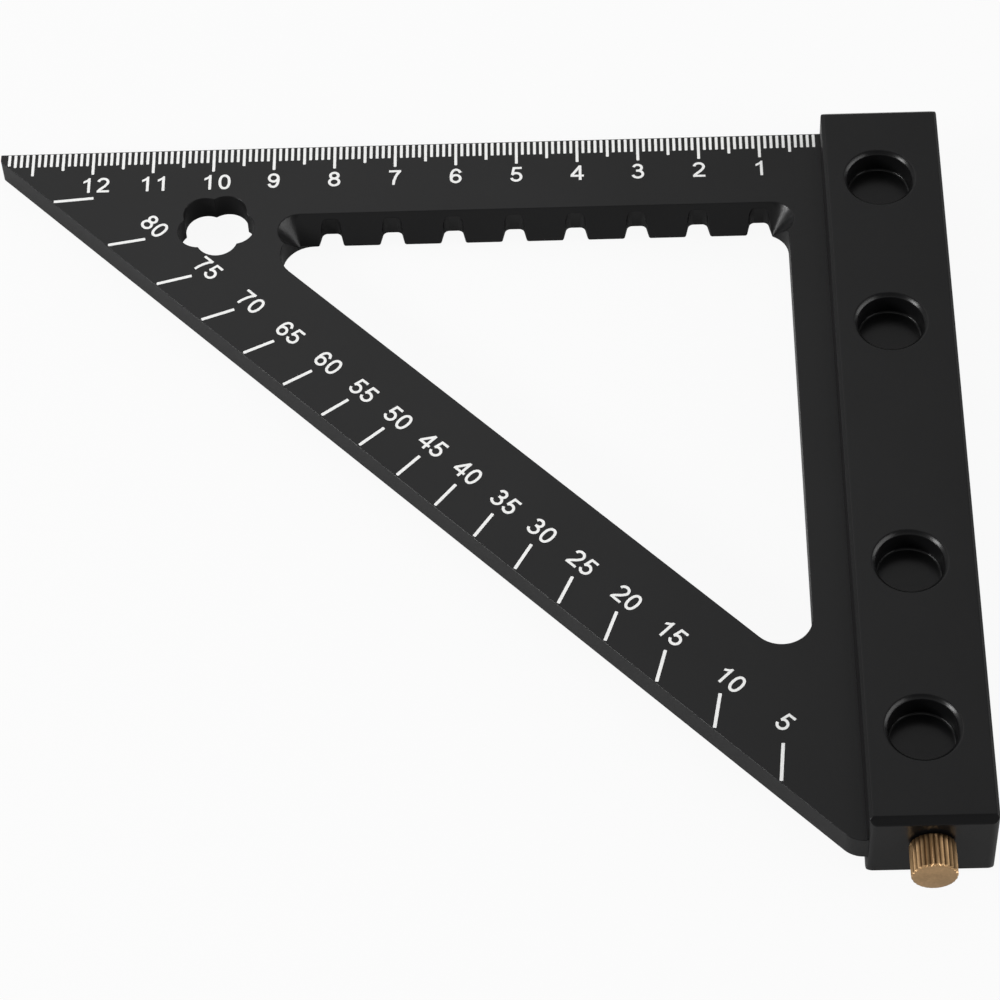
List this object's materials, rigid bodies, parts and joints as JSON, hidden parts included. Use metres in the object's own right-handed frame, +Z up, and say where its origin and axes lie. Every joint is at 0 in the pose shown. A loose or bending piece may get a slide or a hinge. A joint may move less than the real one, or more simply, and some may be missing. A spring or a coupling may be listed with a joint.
{
  "type": "rafter square",
  "caption": "Rafter square: right-angled blade with centimetre and degree marks, a notched bevelled edge, a fence bar with round pockets and a pull-out scriber.",
  "frame": {"origin": "the square's corner, where the fence's guide face, the graduated edge and the blade's underside meet", "axes": "+Z up through the blade, -X along the graduated edge towards the tip, -Y along the fence towards the scriber's knob"},
  "size_m": [0.1544, 0.1413, 0.0148],
  "materials": {
    "black_anodised_blade": "black anodised, fine satin",
    "black_anodised_fence": "black anodised, semi-gloss",
    "dark_steel": "black oxide",
    "bright_steel": "ground",
    "bush_brass": "turned",
    "needle_steel": "ground, with a conical point",
    "knob_brass": "turned, with a straight knurl",
    "white_marks": "matt white marking in the anodised surface"
  },
  "bodies": {
    "square": {"blade": "black_anodised_blade", "fence": "black_anodised_fence", "blade_screws": "dark_steel", "dowel_pins": "bright_steel", "scriber_bush": "bush_brass"},
    "scriber": {"scriber_needle": "needle_steel", "scriber_knob": "knob_brass"}
  },
  "joints": [
    {"name": "scriber_slide", "type": "slide", "parent": "square", "child": "scriber", "axis": [0, -1, 0], "range_m": [0, 0.07]}
  ]
}
